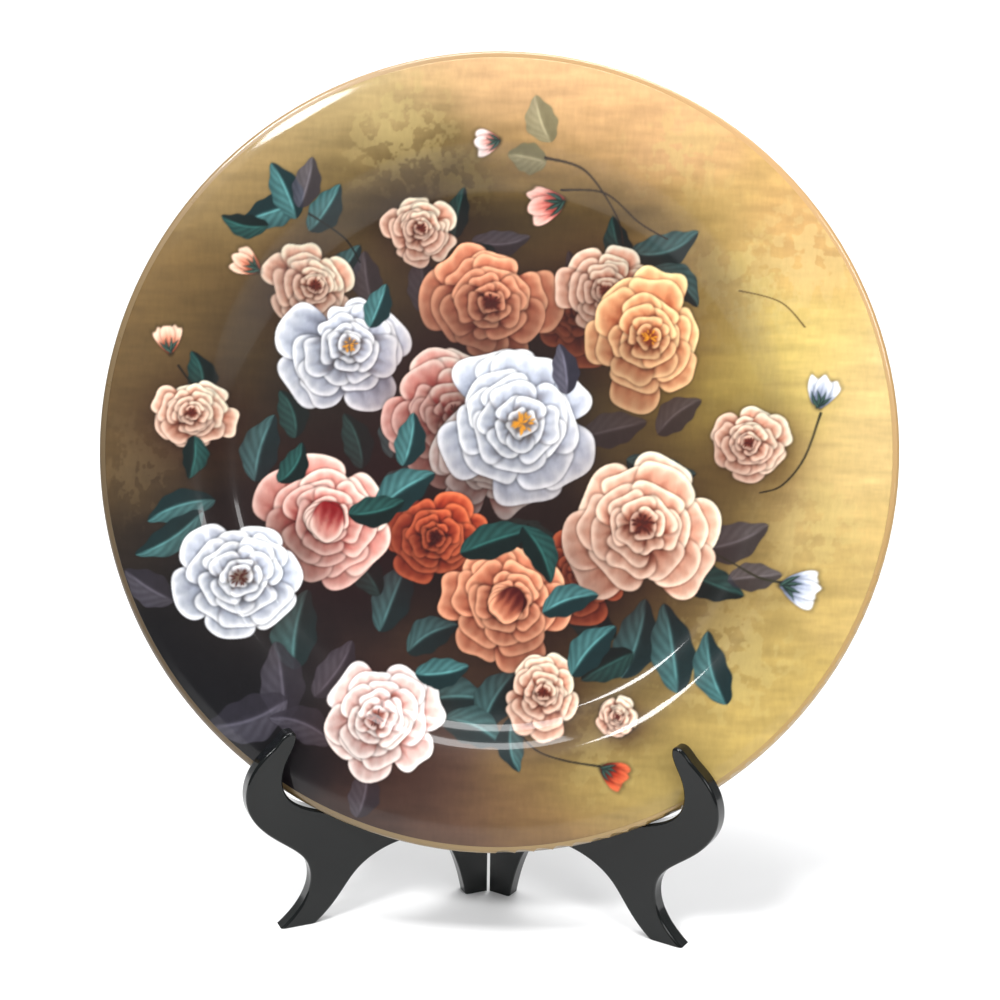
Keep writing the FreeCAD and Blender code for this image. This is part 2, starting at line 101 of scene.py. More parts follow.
class Painter:
    """A canvas in the tray's plane, in millimetres from its centre, and the brush marks that fill it."""

    def __init__(self, seed):
        self.rng = np.random.default_rng(seed)
        axis = np.linspace(-CANVAS_HALF, CANVAS_HALF, CANVAS_SIZE)
        self.x, self.y = np.meshgrid(axis, axis)
        self.colour = np.zeros((CANVAS_SIZE, CANVAS_SIZE, 3))
        self.hairs = layered_noise(self.x.shape, 90, self.rng, 3)

    def window(self, x, y, reach):
        """The part of the canvas within reach of a point."""
        low_x, low_y = (int((value - reach + CANVAS_HALF) / CANVAS_PITCH) for value in (x, y))
        high_x, high_y = (int((value + reach + CANVAS_HALF) / CANVAS_PITCH) + 2 for value in (x, y))
        rows = slice(max(low_y, 0), min(high_y, CANVAS_SIZE))
        columns = slice(max(low_x, 0), min(high_x, CANVAS_SIZE))
        return rows, columns

    def lay(self, area, colour, cover):
        self.colour[area] = mix(self.colour[area], colour, cover[..., None])

    def ground(self, anchors, reach):
        """Soft clouds of colour, each anchor weighing on its surroundings."""
        total = np.zeros_like(self.colour)
        weight = np.zeros(self.x.shape)
        drift_x = (layered_noise(self.x.shape, 7, self.rng) - 0.5) * 60
        drift_y = (layered_noise(self.x.shape, 7, self.rng) - 0.5) * 60
        for x, y, colour in anchors:
            gap = (self.x + drift_x - x) ** 2 + (self.y + drift_y - y) ** 2
            share = np.exp(-gap / (2 * reach ** 2)) + 1e-9
            total += share[..., None] * np.array(colour)
            weight += share
        self.colour = total / weight[..., None]
        strokes = layered_noise(self.x.shape, 60, self.rng, 3, (1.6, 0.35))
        self.colour *= (0.90 + 0.20 * strokes)[..., None]

    def sponge(self, x, y, reach, colour, strength):
        """A dabbed, broken patch of a lighter colour."""
        area = self.window(x, y, reach * 1.8)
        dx, dy = self.x[area] - x, self.y[area] - y
        fade = np.exp(-(dx ** 2 + dy ** 2) / (reach ** 2))
        speck = layered_noise(dx.shape, reach * 0.7, self.rng, 3)
        broken = smooth((speck * (0.6 + 0.6 * fade) - 0.48) * 9)
        self.lay(area, np.array(colour), broken * fade * strength)

    def wash(self, x, y, reach_x, reach_y, turn, colour, strength):
        """A soft glaze with no edge."""
        area = self.window(x, y, 2.5 * max(reach_x, reach_y))
        along, across = self.turned(area, x, y, turn)
        fade = np.exp(-(along / reach_x) ** 2 - (across / reach_y) ** 2)
        self.lay(area, np.array(colour), fade * strength)

    def turned(self, area, x, y, turn):
        """Coordinates along and across a direction, from a point."""
        dx, dy = self.x[area] - x, self.y[area] - y
        return dx * math.cos(turn) + dy * math.sin(turn), dy * math.cos(turn) - dx * math.sin(turn)

    def petal(self, x, y, length, width, turn, deep, body, light, cover=1.0, curl=0.5):
        """One loaded brush stroke: deep at its base, light along its rolled outer edge."""
        area = self.window(x, y, length + width)
        along, across = self.turned(area, x, y, turn)
        u = along / length
        v = across / width
        u = u + self.rng.uniform(0.02, 0.07) * np.sin(v * self.rng.uniform(2.5, 5) + self.rng.uniform(0, 6.3))
        flare = 0.72 + 0.34 * np.clip(u, 0, 1)
        rise_share = np.abs(2 * u - 1) ** PETAL_ROUNDNESS
        spread = np.abs(v / flare) ** PETAL_ROUNDNESS
        edge = (1.0 - (rise_share + spread) ** (1 / PETAL_ROUNDNESS)) * min(length / 2, width)
        shadow = smooth((edge + 1.6) / 2.6)
        self.lay(area, self.colour[area] * 0.35, shadow * 0.60 * cover)
        inside = smooth(edge / 0.8 + 0.5)
        streak = np.sin(v * 13 + 3.0 * self.hairs[area] + self.rng.uniform(0, 6.3)) * 0.5 + 0.5
        rise = smooth(u * 1.1 + 0.22 * (streak - 0.5))[..., None]
        tone = mix(np.array(deep), np.array(body), np.clip(rise * 1.25, 0, 1))
        lit = smooth((u - 0.45) * 1.7) * (0.55 + 0.45 * streak)
        tone = mix(tone, np.array(light), (lit * 0.75)[..., None])
        rim_width = 1.0 + 0.03 * length
        rim = np.exp(-((edge - 0.5) / rim_width) ** 2) * smooth((u - 0.35) * 3)
        tone = mix(tone, np.minimum(np.array(light) * 1.12, 1.0), (rim * curl)[..., None])
        tone = tone * (0.93 + 0.14 * self.hairs[area])[..., None]
        self.lay(area, tone, inside * cover)

    def rose(self, x, y, radius_x, radius_y, palette, seed, face, open_to, heart):
        """A full bloom: rings of petals from the outside in, round a heart that may sit off centre."""
        self.rng = np.random.default_rng(seed)
        deep, body, light, core = (np.array(colour) for colour in palette)
        radius_x, radius_y = radius_x * BLOOM_SIZE, radius_y * BLOOM_SIZE
        self.wash(x + 2, y - 3, radius_x * 1.15, radius_y * 1.15, 0, core * 0.35, 0.75)
        small = min(radius_x, radius_y)
        for number, (count, start, length, width) in enumerate(PETAL_RINGS):
            inner = number / (len(PETAL_RINGS) - 1)
            shift_x = x + face[0] * small * inner * 0.3
            shift_y = y + face[1] * small * inner * 0.3
            first = self.rng.uniform(0, 6.3)
            order = self.rng.permutation(count)
            for index in order:
                turn = first + (index + self.rng.uniform(-0.30, 0.30)) * 2 * math.pi / count
                stretch = math.hypot(math.cos(turn) * radius_x, math.sin(turn) * radius_y)
                lit = 0.5 + 0.5 * math.sin(turn + 0.6)
                shade = (0.74 + 0.26 * lit) * (1.0 - 0.10 * inner)
                jitter = self.rng.uniform(0.84, 1.14)
                self.petal(
                    shift_x + math.cos(turn) * start * radius_x * 0.9,
                    shift_y + math.sin(turn) * start * radius_y * 0.9,
                    stretch * length * jitter,
                    stretch * width * self.rng.uniform(0.95, 1.2),
                    turn + self.rng.uniform(-0.32, 0.32),
                    mix(deep, core, 0.25 + 0.5 * inner) * shade,
                    body * shade,
                    np.minimum(light * (shade + 0.1), 1),
                    curl=0.75,
                )
        heart_x = x + face[0] * small * 0.3
        heart_y = y + face[1] * small * 0.3
        self.wash(heart_x, heart_y, small * 0.13, small * 0.11, 0, core, 0.9)
        for _ in range(int(small * 0.8)):
            turn = self.rng.uniform(0, 6.3)
            reach = self.rng.uniform(0.03, 0.14) * small
            self.dab(
                heart_x + math.cos(turn) * reach, heart_y + math.sin(turn) * reach,
                0.035 * small, 0.016 * small, turn, heart, 0.8,
            )
        if open_to is not None:
            for step in (-0.5, -0.15, 0.2, 0.55):
                turn = open_to + step + math.pi
                self.petal(
                    heart_x - math.cos(turn) * small * 0.22, heart_y - math.sin(turn) * small * 0.22,
                    small * 0.55, small * 0.26, turn, core, body * 0.85, light, curl=0.8,
                )

    def dab(self, x, y, length, width, turn, colour, cover):
        area = self.window(x, y, 3 * length + 1)
        along, across = self.turned(area, x, y, turn)
        gap = (along / max(length, 0.5)) ** 2 + (across / max(width, 0.35)) ** 2
        self.lay(area, np.array(colour), np.exp(-gap ** 2) * cover)

    def leaf(self, x, y, length, width, turn, dark, light, cover=1.0):
        """A pointed leaf in two halves, one lit, with a pale midrib and faint veins."""
        area = self.window(x, y, length * 0.75)
        along, across = self.turned(area, x, y, turn)
        bend = self.rng.uniform(-0.12, 0.12) * length
        u = along / length + 0.5
        across = across - bend * (4 * u * (1 - u) - 0.5)
        inside_span = np.clip(u, 0, 1)
        half = width * np.sin(np.pi * inside_span ** 0.85) ** 0.8
        ripple = 0.05 * width * np.sin(u * 21)
        edge = np.minimum(half + ripple - np.abs(across), np.minimum(u, 1 - u) * length * 0.6)
        mask = smooth(edge / 0.9 + 0.4)
        share = across / np.maximum(half, 0.1)
        veins = np.sin((u - 0.35 * np.abs(share)) * 34) * 0.5 + 0.5
        side = smooth(share * 1.6 + 0.5)
        lit = np.clip(0.12 + 0.62 * side * (1 - 0.45 * np.abs(share)) + 0.20 * veins * side, 0, 1)
        tone = mix(np.array(dark), np.array(light), lit[..., None])
        rib = np.exp(-(across / (0.05 * width + 0.25)) ** 2) * smooth(u * 4) * smooth((1 - u) * 3)
        tone = mix(tone, np.minimum(np.array(light) * 1.35, 1), (rib * 0.7)[..., None])
        self.lay(area, self.colour[area] * 0.4, smooth((edge + 1.2) / 2.2) * 0.3 * cover)
        self.lay(area, tone * (0.92 + 0.16 * self.hairs[area])[..., None], mask * cover)

    def stem(self, points, width, colour):
        """A thin line through a few points, tapering to its end."""
        points = np.array(points, float)
        for share in np.linspace(0, 1, 90):
            place = share * (len(points) - 1)
            index = min(int(place), len(points) - 2)
            local = place - index
            before, after = points[max(index - 1, 0)], points[min(index + 2, len(points) - 1)]
            a, b = points[index], points[index + 1]
            spot = 0.5 * (2 * a + (b - before) * local + (2 * before - 5 * a + 4 * b - after) * local ** 2
                          + (3 * a - before - 3 * b + after) * local ** 3)
            size = width * (1 - 0.45 * share)
            self.dab(spot[0], spot[1], size, size, 0, colour, 0.85)

    def bud(self, x, y, size, turn, palette, green):
        """A closed bud: three overlapped petals in a cup of narrow sepals."""
        deep, body, light, _ = (np.array(colour) for colour in palette)
        base_x, base_y = x - math.cos(turn) * size * 0.6, y - math.sin(turn) * size * 0.6
        for lean, width in ((0.42, 0.38), (-0.42, 0.38), (0.0, 0.42)):
            self.petal(base_x, base_y, size * 1.5, size * width, turn + lean, deep, body, light)
        for lean in (-0.7, -0.25, 0.25, 0.7):
            spot = turn + lean
            self.leaf(
                base_x + math.cos(spot) * size * 0.35, base_y + math.sin(spot) * size * 0.35,
                size * 0.9, size * 0.10, spot, np.array(green) * 0.5, green,
            )


# How square a petal's outline is: 2 is an ellipse.
PETAL_ROUNDNESS = 2.5

# How far the blooms' petals spill past their stated size.
BLOOM_SIZE = 1.03

# A bloom's rings of petals, from the outside in: how many, then where they start, their length and
# their half width, as shares of the bloom's size.
PETAL_RINGS = [
    (6, 0.36, 0.68, 0.42), (6, 0.27, 0.58, 0.38), (6, 0.18, 0.48, 0.32), (5, 0.10, 0.38, 0.27),
    (5, 0.05, 0.27, 0.20), (4, 0.02, 0.17, 0.13),
]

# Palettes run from the petal's base to its lit edge, then the bloom's heart.
PEACH = ((0.60, 0.27, 0.18), (0.86, 0.58, 0.47), (0.97, 0.83, 0.74), (0.38, 0.12, 0.08))
PINK = ((0.64, 0.20, 0.18), (0.87, 0.52, 0.47), (0.98, 0.80, 0.75), (0.50, 0.07, 0.09))
ORANGE = ((0.45, 0.13, 0.08), (0.73, 0.38, 0.27), (0.90, 0.64, 0.50), (0.26, 0.05, 0.05))
GOLDEN = ((0.60, 0.24, 0.13), (0.84, 0.51, 0.34), (0.95, 0.76, 0.56), (0.48, 0.18, 0.08))
SCARLET = ((0.34, 0.05, 0.04), (0.66, 0.20, 0.11), (0.88, 0.44, 0.28), (0.20, 0.02, 0.03))
WHITE = ((0.42, 0.46, 0.56), (0.72, 0.75, 0.82), (0.96, 0.96, 0.97), (0.45, 0.36, 0.30))
BLUSH = ((0.70, 0.36, 0.32), (0.92, 0.72, 0.68), (0.99, 0.93, 0.90), (0.50, 0.20, 0.14))
STAMEN_GOLD = (0.86, 0.56, 0.14)
STAMEN_DARK = (0.26, 0.10, 0.08)

TEAL = ((0.03, 0.10, 0.11), (0.32, 0.52, 0.52))
DEEP_GREEN = ((0.02, 0.06, 0.06), (0.16, 0.34, 0.32))
GHOST = ((0.14, 0.13, 0.17), (0.38, 0.37, 0.42))
PALE_LEAF = ((0.30, 0.34, 0.26), (0.62, 0.64, 0.54))

GROUND = [
    (-120, 140, (0.60, 0.50, 0.32)), (-165, 80, (0.47, 0.37, 0.21)), (-190, 10, (0.36, 0.28, 0.17)),
    (-180, -50, (0.14, 0.11, 0.09)), (-140, -110, (0.02, 0.02, 0.04)), (-90, -155, (0.03, 0.025, 0.05)),
    (-95, -60, (0.07, 0.06, 0.08)), (-30, -180, (0.36, 0.26, 0.20)), (30, -185, (0.50, 0.38, 0.24)),
    (-40, -150, (0.28, 0.20, 0.18)), (60, -150, (0.66, 0.57, 0.32)), (130, -115, (0.76, 0.65, 0.37)),
    (185, -50, (0.82, 0.70, 0.44)), (190, 30, (0.86, 0.74, 0.50)), (140, 60, (0.86, 0.76, 0.44)),
    (110, 30, (0.84, 0.74, 0.34)), (110, 110, (0.76, 0.64, 0.38)), (150, 130, (0.80, 0.63, 0.40)),
    (60, 175, (0.85, 0.67, 0.48)), (0, 185, (0.80, 0.64, 0.46)), (-60, 165, (0.68, 0.59, 0.40)),
    (-30, 120, (0.34, 0.27, 0.13)), (40, 125, (0.50, 0.40, 0.20)), (-90, 100, (0.40, 0.32, 0.18)),
    (-140, 40, (0.30, 0.23, 0.14)), (-90, 20, (0.12, 0.09, 0.07)), (0, 20, (0.14, 0.09, 0.07)),
    (-10, -40, (0.11, 0.07, 0.06)), (0, -100, (0.30, 0.22, 0.14)), (60, -100, (0.42, 0.34, 0.19)),
    (105, -30, (0.50, 0.42, 0.23)), (120, -75, (0.70, 0.60, 0.34)),
]

SPONGED = [
    (-50, 160, 30, (0.72, 0.64, 0.42), 0.6), (-20, 135, 22, (0.62, 0.54, 0.32), 0.45),
    (115, 85, 34, (0.86, 0.78, 0.50), 0.6), (150, 100, 30, (0.86, 0.76, 0.52), 0.55),
    (120, -95, 34, (0.80, 0.72, 0.46), 0.6), (160, -30, 30, (0.84, 0.75, 0.48), 0.5),
    (60, -145, 26, (0.70, 0.62, 0.38), 0.55), (-180, -10, 24, (0.46, 0.38, 0.26), 0.45),
    (90, 150, 28, (0.80, 0.70, 0.46), 0.5), (130, 20, 24, (0.84, 0.76, 0.42), 0.5),
]

# Leaves: place, length, width, direction in degrees, colours.
LEAVES = [
    (-115, 118, 30, 8, 200, TEAL), (-108, 129, 30, 8, 115, TEAL), (-97, 133, 26, 7, 75, GHOST),
    (-88, 121, 28, 7, 55, TEAL), (-128, 112, 24, 6, 170, DEEP_GREEN), (-80, 92, 30, 8, 60, TEAL),
    (-68, 88, 28, 8, 100, GHOST), (-40, 86, 30, 8, 95, GHOST), (-22, 122, 26, 6, 80, DEEP_GREEN),
    (0, 108, 30, 7, 5, GHOST), (-10, 100, 24, 6, 160, DEEP_GREEN), (60, 108, 28, 7, 110, DEEP_GREEN),
    (83, 106, 34, 9, 15, TEAL), (90, 88, 30, 8, -40, TEAL), (40, 92, 26, 6, 120, GHOST),
    (-120, 0, 36, 10, 75, TEAL), (-106, 18, 26, 8, 110, DEEP_GREEN), (-158, -32, 34, 8, 200, TEAL),
    (-162, -46, 40, 8, 215, TEAL), (-50, 12, 32, 10, 80, TEAL), (-45, -18, 40, 10, 30, TEAL),
    (-58, -30, 32, 8, 200, DEEP_GREEN), (-72, 5, 30, 8, 110, DEEP_GREEN), (8, -42, 36, 9, 25, DEEP_GREEN),
    (26, -47, 30, 7, -60, DEEP_GREEN), (60, 14, 34, 9, 15, GHOST), (84, -6, 36, 9, -10, TEAL),
    (92, 22, 28, 8, 40, GHOST), (121, -40, 38, 10, 20, GHOST), (111, -62, 34, 9, -20, DEEP_GREEN),
    (132, -58, 26, 7, 10, GHOST), (74, -92, 42, 11, 75, TEAL), (92, -95, 44, 11, 100, TEAL),
    (113, -104, 36, 9, 105, TEAL), (60, -106, 30, 8, 210, DEEP_GREEN), (-50, -74, 40, 10, 70, TEAL),
    (-30, -94, 30, 9, 30, TEAL), (-66, -62, 30, 8, 130, DEEP_GREEN), (-98, -92, 40, 11, 85, TEAL),
    (-104, -118, 40, 11, 100, GHOST), (-78, -112, 32, 9, 60, GHOST), (-120, -136, 44, 12, 200, GHOST),
    (-92, -140, 34, 9, 160, GHOST), (-18, -126, 38, 11, 5, TEAL), (5, -124, 36, 10, 60, TEAL),
    (-6, -140, 34, 9, -20, TEAL), (14, -146, 26, 7, -80, TEAL), (-60, -172, 26, 8, 80, GHOST),
    (20, 166, 24, 8, 110, PALE_LEAF), (13, 148, 20, 7, 170, PALE_LEAF), (-150, 36, 24, 7, 100, DEEP_GREEN),
    (-172, -72, 30, 9, 150, GHOST), (50, -82, 34, 9, 140, DEEP_GREEN),
]

# Leaves that lie over the blooms' edges.
TOP_LEAVES = [
    (2, -44, 40, 9, 20, DEEP_GREEN), (24, -50, 32, 8, -62, DEEP_GREEN), (-46, -20, 36, 10, 35, TEAL),
    (-60, -30, 30, 8, 15, DEEP_GREEN), (-44, 6, 28, 8, 80, TEAL), (40, -74, 30, 8, 20, TEAL),
    (-104, -8, 24, 7, 60, DEEP_GREEN), (52, -98, 34, 9, 50, TEAL), (-152, -6, 22, 6, 265, DEEP_GREEN),
    (-62, 74, 24, 7, 70, TEAL), (34, 44, 26, 7, 100, GHOST), (-24, -112, 28, 8, 10, TEAL),
]

STEMS = [
    ([(22, 148), (42, 142), (58, 122), (62, 108)], 0.7, (0.16, 0.12, 0.09)),
    ([(30, 134), (52, 132), (70, 118), (84, 110)], 0.6, (0.16, 0.12, 0.09)),
    ([(161, 24), (154, 2), (144, -12), (134, -16)], 0.7, (0.18, 0.18, 0.12)),
    ([(146, -60), (134, -58), (122, -52), (110, -46)], 0.7, (0.18, 0.18, 0.12)),
    ([(58, -154), (40, -152), (26, -148), (16, -140)], 0.6, (0.10, 0.10, 0.08)),
    ([(-160, 40), (-150, 26), (-142, 14)], 0.6, (0.10, 0.10, 0.08)),
    ([(-96, 118), (-80, 108), (-72, 96)], 0.6, (0.08, 0.10, 0.09)),
    ([(120, 84), (140, 78), (152, 66)], 0.4, (0.40, 0.32, 0.18)),
]

# Blooms: place, half width, half height, palette, seed, where the heart faces, direction it opens, stamens.
ROSES = [
    (-42, 113, 20, 17, PEACH, 11, (0.2, 0.2), None, STAMEN_DARK),
    (-98, 82, 22, 21, PEACH, 12, (0.5, 0.3), None, STAMEN_DARK),
    (42, 72, 24, 26, SCARLET, 31, (0.0, 0.3), None, STAMEN_DARK),
    (-5, 76, 35, 28, ORANGE, 13, (0.1, 0.1), None, STAMEN_DARK),
    (54, 84, 24, 22, PEACH, 14, (0.0, 0.0), None, STAMEN_DARK),
    (74, 60, 28, 34, GOLDEN, 15, (0.3, 0.1), None, STAMEN_GOLD),
    (-77, 50, 35, 26, WHITE, 16, (0.1, 0.5), None, STAMEN_GOLD),
    (-26, 20, 30, 34, PINK, 17, (0.6, 0.0), None, STAMEN_DARK),
    (-4, -4, 30, 26, BLUSH, 32, (0.3, 0.5), None, STAMEN_DARK),
    (10, 15, 38, 40, WHITE, 18, (0.3, 0.1), None, STAMEN_GOLD),
    (128, 8, 19, 18, PEACH, 19, (0.0, 0.2), None, STAMEN_DARK),
    (-153, 15, 20, 17, PEACH, 20, (0.0, 0.3), None, STAMEN_DARK),
    (-30, -44, 25, 24, SCARLET, 23, (0.1, 0.1), None, STAMEN_DARK),
    (-88, -38, 36, 35, PINK, 21, (0.3, 0.3), 0.8, STAMEN_DARK),
    (-127, -67, 30, 29, WHITE, 22, (-0.1, 0.1), None, STAMEN_DARK),
    (46, -60, 20, 24, SCARLET, 33, (0.0, 0.0), None, STAMEN_DARK),
    (76, -37, 37, 40, PEACH, 24, (0.0, 0.3), None, STAMEN_DARK),
    (8, -76, 32, 32, ORANGE, 25, (0.2, 0.1), 0.4, STAMEN_DARK),
    (28, -122, 17, 22, PEACH, 26, (0.0, 0.3), None, STAMEN_DARK),
    (-54, -136, 29, 27, BLUSH, 27, (-0.2, 0.1), None, STAMEN_DARK),
    (66, -130, 10, 9, PEACH, 28, (0.0, 0.0), None, STAMEN_DARK),
]

# Buds: place, size, direction in degrees, palette.
BUDS = [
    (24, 127, 12, 190, PINK), (-6, 155, 8, 185, BLUSH), (-165, 52, 9, 100, PEACH), (-126, 92, 9, 150, PEACH),
    (161, 33, 10, 75, WHITE), (152, -62, 12, -10, WHITE), (64, -157, 9, -25, SCARLET),
]


def linear(shown):
    """Colours given in sRGB, turned into linear light."""
    return np.where(shown <= 0.04045, shown / 12.92, ((shown + 0.055) / 1.055) ** 2.4)


def paint_tray():
    """The painting: mottled ground, painted shade along the top and right edge of the well, leaves and stems,
    then blooms and buds, from the back to the front.
    """
    painter = Painter(5)
    painter.ground(GROUND, 26)
    for x, y, reach, colour, strength in SPONGED:
        painter.sponge(x, y, reach, colour, strength)
    # Painted shade: a dark band across the top of the well floor, under the well's upper wall.
    painter.wash(-10, 118, 90, 14, 0.0, (0.14, 0.10, 0.05), 0.55)
    # Painted shade: a darker olive band following the well's right edge.
    painter.wash(112, 72, 12, 50, 0.3, (0.52, 0.42, 0.18), 0.35)
    painter.wash(-12, -6, 112, 98, 0.0, (0.05, 0.035, 0.035), 0.78)
    painter.rng = np.random.default_rng(6)
    for x, y, length, width, turn, (dark, light) in LEAVES:
        fade = 0.55 if light is PALE_LEAF[1] else 0.78 if light is GHOST[1] else 1.0
        painter.leaf(x, y, length, width, math.radians(turn), dark, light, fade)
    for points, width, colour in STEMS:
        painter.stem(points, width, colour)
    for x, y, radius_x, radius_y, palette, seed, face, open_to, heart in ROSES:
        painter.rose(x, y, radius_x, radius_y, palette, seed, face, open_to, np.array(heart))
    painter.rng = np.random.default_rng(7)
    for x, y, length, width, turn, (dark, light) in TOP_LEAVES:
        painter.leaf(x, y, length, width, math.radians(turn), dark, light)
    for x, y, size, turn, palette in BUDS:
        painter.bud(x, y, size, math.radians(turn), palette, (0.20, 0.30, 0.27))
    return linear(np.clip(painter.colour, 0.0, 1.0))


def read_canvas(canvas, x, y):
    """The canvas's colour at points given in millimetres, blended between its cells."""
    across = np.clip((x + CANVAS_HALF) / CANVAS_PITCH, 0, CANVAS_SIZE - 1.001)
    up = np.clip((y + CANVAS_HALF) / CANVAS_PITCH, 0, CANVAS_SIZE - 1.001)
    column, row = across.astype(int), up.astype(int)
    fx, fy = (across - column)[:, None], (up - row)[:, None]
    top = canvas[row, column] * (1 - fx) + canvas[row, column + 1] * fx
    low = canvas[row + 1, column] * (1 - fx) + canvas[row + 1, column + 1] * fx
    return top * (1 - fy) + low * fy


# ---------------------------------------------------------------- coat of paint


def section_heights():
    """The tray's front as closely spaced radii and heights: a clamped uniform cubic B-spline of its poles."""
    count = len(SECTION)
    inner = np.linspace(0, 1, count - 2)
    knots = np.concatenate([[0] * 3, inner, [1] * 3])
    t = np.linspace(0, 1 - 1e-9, 3000)
    basis = np.array([(t >= knots[i]) & (t < knots[i + 1]) for i in range(len(knots) - 1)], float)
    for degree in (1, 2, 3):
        raised = []
        for i in range(len(knots) - 1 - degree):
            left_span = knots[i + degree] - knots[i]
            right_span = knots[i + degree + 1] - knots[i + 1]
            left = (t - knots[i]) / left_span * basis[i] if left_span > 0 else 0 * t
            right = (knots[i + degree + 1] - t) / right_span * basis[i + 1] if right_span > 0 else 0 * t
            raised.append(left + right)
        basis = np.array(raised)
    curve = basis.T @ SECTION
    return curve[:, 0], curve[:, 1]


def on_tray(x, y, height):
    """Points in the tray's own frame, in millimetres, as points of the row frame in metres."""
    across = np.array([1.0, 0.0, 0.0])
    local = x[:, None] * across + y[:, None] * TRAY_UP + height[:, None] * TRAY_OUT
    return (TRAY_CENTRE + local) * MM


def make_paint(canvas):
    """A closed coat over the tray's front: a fine grid mapped to the disc, and a coarser hidden underside."""
    radii, heights = section_heights()

    def surface(radius):
        return np.interp(radius, radii, heights)

    def proud(radius):
        return PAINT_DEPTH * smooth((PAINT_RADIUS - radius) / PAINT_TAPER + 0.12)

    axis = np.linspace(-1, 1, GRID)
    a, b = np.meshgrid(axis, axis)
    x = (a * np.sqrt(1 - b ** 2 / 2)).ravel() * PAINT_RADIUS
    y = (b * np.sqrt(1 - a ** 2 / 2)).ravel() * PAINT_RADIUS
    radius = np.hypot(x, y)
    front = on_tray(x, y, surface(radius) + proud(radius))
    colours = read_canvas(canvas, x, y)

    index = np.arange(GRID * GRID).reshape(GRID, GRID)
    quads = [np.stack([index[:-1, :-1], index[:-1, 1:], index[1:, 1:], index[1:, :-1]], -1).reshape(-1, 4)]
    loop = np.concatenate([index[0, :-1], index[:-1, -1], index[-1, :0:-1], index[:0:-1, 0]])
    ring_x, ring_y = x[loop] / PAINT_RADIUS, y[loop] / PAINT_RADIUS
    points, previous = [front], loop
    start = GRID * GRID
    for ring_radius in np.linspace(PAINT_RADIUS, 4.0, UNDERSIDE_RINGS):
        reach = np.full(len(loop), ring_radius)
        depth = surface(reach) - PAINT_DEPTH
        points.append(on_tray(ring_x * ring_radius, ring_y * ring_radius, depth))
        current = start + np.arange(len(loop))
        start += len(loop)
        after = np.roll(current, -1)
        quads.append(np.stack([np.roll(previous, -1), previous, current, after], -1))
        previous = current
    points.append(on_tray(np.zeros(1), np.zeros(1), np.array([-PAINT_DEPTH])))
    centre = np.full(len(loop), start)
    fan = np.stack([np.roll(previous, -1), previous, centre], -1)

    vertices = np.concatenate(points)
    quads = np.concatenate(quads)
    mesh = bpy.data.meshes.new("painted_coat")
    mesh.vertices.add(len(vertices))
    mesh.vertices.foreach_set("co", vertices.ravel())
    mesh.loops.add(quads.size + fan.size)
    mesh.loops.foreach_set("vertex_index", np.concatenate([quads.ravel(), fan.ravel()]))
    totals = np.concatenate([np.full(len(quads), 4), np.full(len(fan), 3)])
    mesh.polygons.add(len(totals))
    mesh.polygons.foreach_set("loop_start", np.concatenate([[0], np.cumsum(totals)[:-1]]))
    mesh.polygons.foreach_set("loop_total", totals)
    mesh.update(calc_edges=True)
    mesh.validate()
    mesh.polygons.foreach_set("use_smooth", np.ones(len(mesh.polygons), bool))
    layer = mesh.attributes.new("paint", "FLOAT_COLOR", "POINT")
    every = np.ones((len(vertices), 4))
    every[:, :3] = 0.02
    every[:len(colours), :3] = colours
    layer.data.foreach_set("color", every.ravel())
    piece = bpy.data.objects.new("painted_coat", mesh)
    bpy.context.scene.collection.objects.link(piece)
    return piece


# ---------------------------------------------------------------- materials


def new_material(name):
    material = bpy.data.materials.new(name)
    material.use_nodes = True
    tree = material.node_tree
    return material, tree, tree.nodes["Principled BSDF"]


def add(tree, kind, **values):
    node = tree.nodes.new(kind)
    for name, value in values.items():
        if name in node.inputs:
            node.inputs[name].default_value = value
        else:
            setattr(node, name, value)
    return node


def noise_node(tree, scale, detail=4.0, stretch=(1.0, 1.0, 1.0)):
    place = add(tree, "ShaderNodeTexCoord")
    mapping = add(tree, "ShaderNodeMapping")
    mapping.inputs["Scale"].default_value = stretch
    texture = add(tree, "ShaderNodeTexNoise", Scale=scale, Detail=detail)
    tree.links.new(place.outputs["Object"], mapping.inputs["Vector"])
    tree.links.new(mapping.outputs["Vector"], texture.inputs["Vector"])
    return texture.outputs["Fac"]


def ranged(tree, source, low, high):
    node = add(tree, "ShaderNodeMapRange")
    node.inputs["To Min"].default_value = low
    node.inputs["To Max"].default_value = high
    tree.links.new(source, node.inputs["Value"])
    return node.outputs["Result"]


def add_bump(tree, shader, source, strength, distance):
    bump = add(tree, "ShaderNodeBump", Strength=strength, Distance=distance)
    tree.links.new(source, bump.inputs["Height"])
    tree.links.new(bump.outputs["Normal"], shader.inputs["Normal"])


def blend_colours(tree, factor, first, second):
    node = add(tree, "ShaderNodeMix", data_type="RGBA")
    for socket, value in ((6, first), (7, second)):
        if isinstance(value, bpy.types.NodeSocket):
            tree.links.new(value, node.inputs[socket])
        else:
            node.inputs[socket].default_value = (*value, 1.0)
    tree.links.new(factor, node.inputs[0])
    return node.outputs[2]


